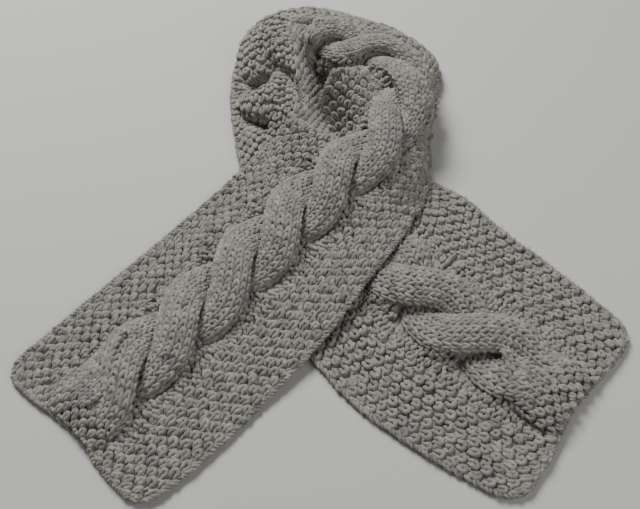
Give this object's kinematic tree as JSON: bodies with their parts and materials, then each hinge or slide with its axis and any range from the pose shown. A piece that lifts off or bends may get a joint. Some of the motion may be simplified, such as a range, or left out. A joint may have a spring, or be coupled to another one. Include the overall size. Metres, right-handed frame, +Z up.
{
  "type": "knit scarf",
  "caption": "Short hand-knitted neck scarf with a rope cable down the middle and moss-stitch borders, curled over itself once and laid flat on a table.",
  "frame": {"origin": "centre of the laid scarf's box, on the surface that it lies on", "axes": "+Z up from that surface; +Y from the two free ends towards the curled neck loop; +X to the right of that, the side where the lower tail's end lies"},
  "size_m": [0.3806, 0.409, 0.0496],
  "materials": {
    "grey_wool": "matte heathered light grey wool, slightly fuzzy"
  },
  "bodies": {
    "root": {"upper_tail": "grey_wool", "neck_loop": "grey_wool", "lower_tail": "grey_wool"}
  },
  "joints": []
}
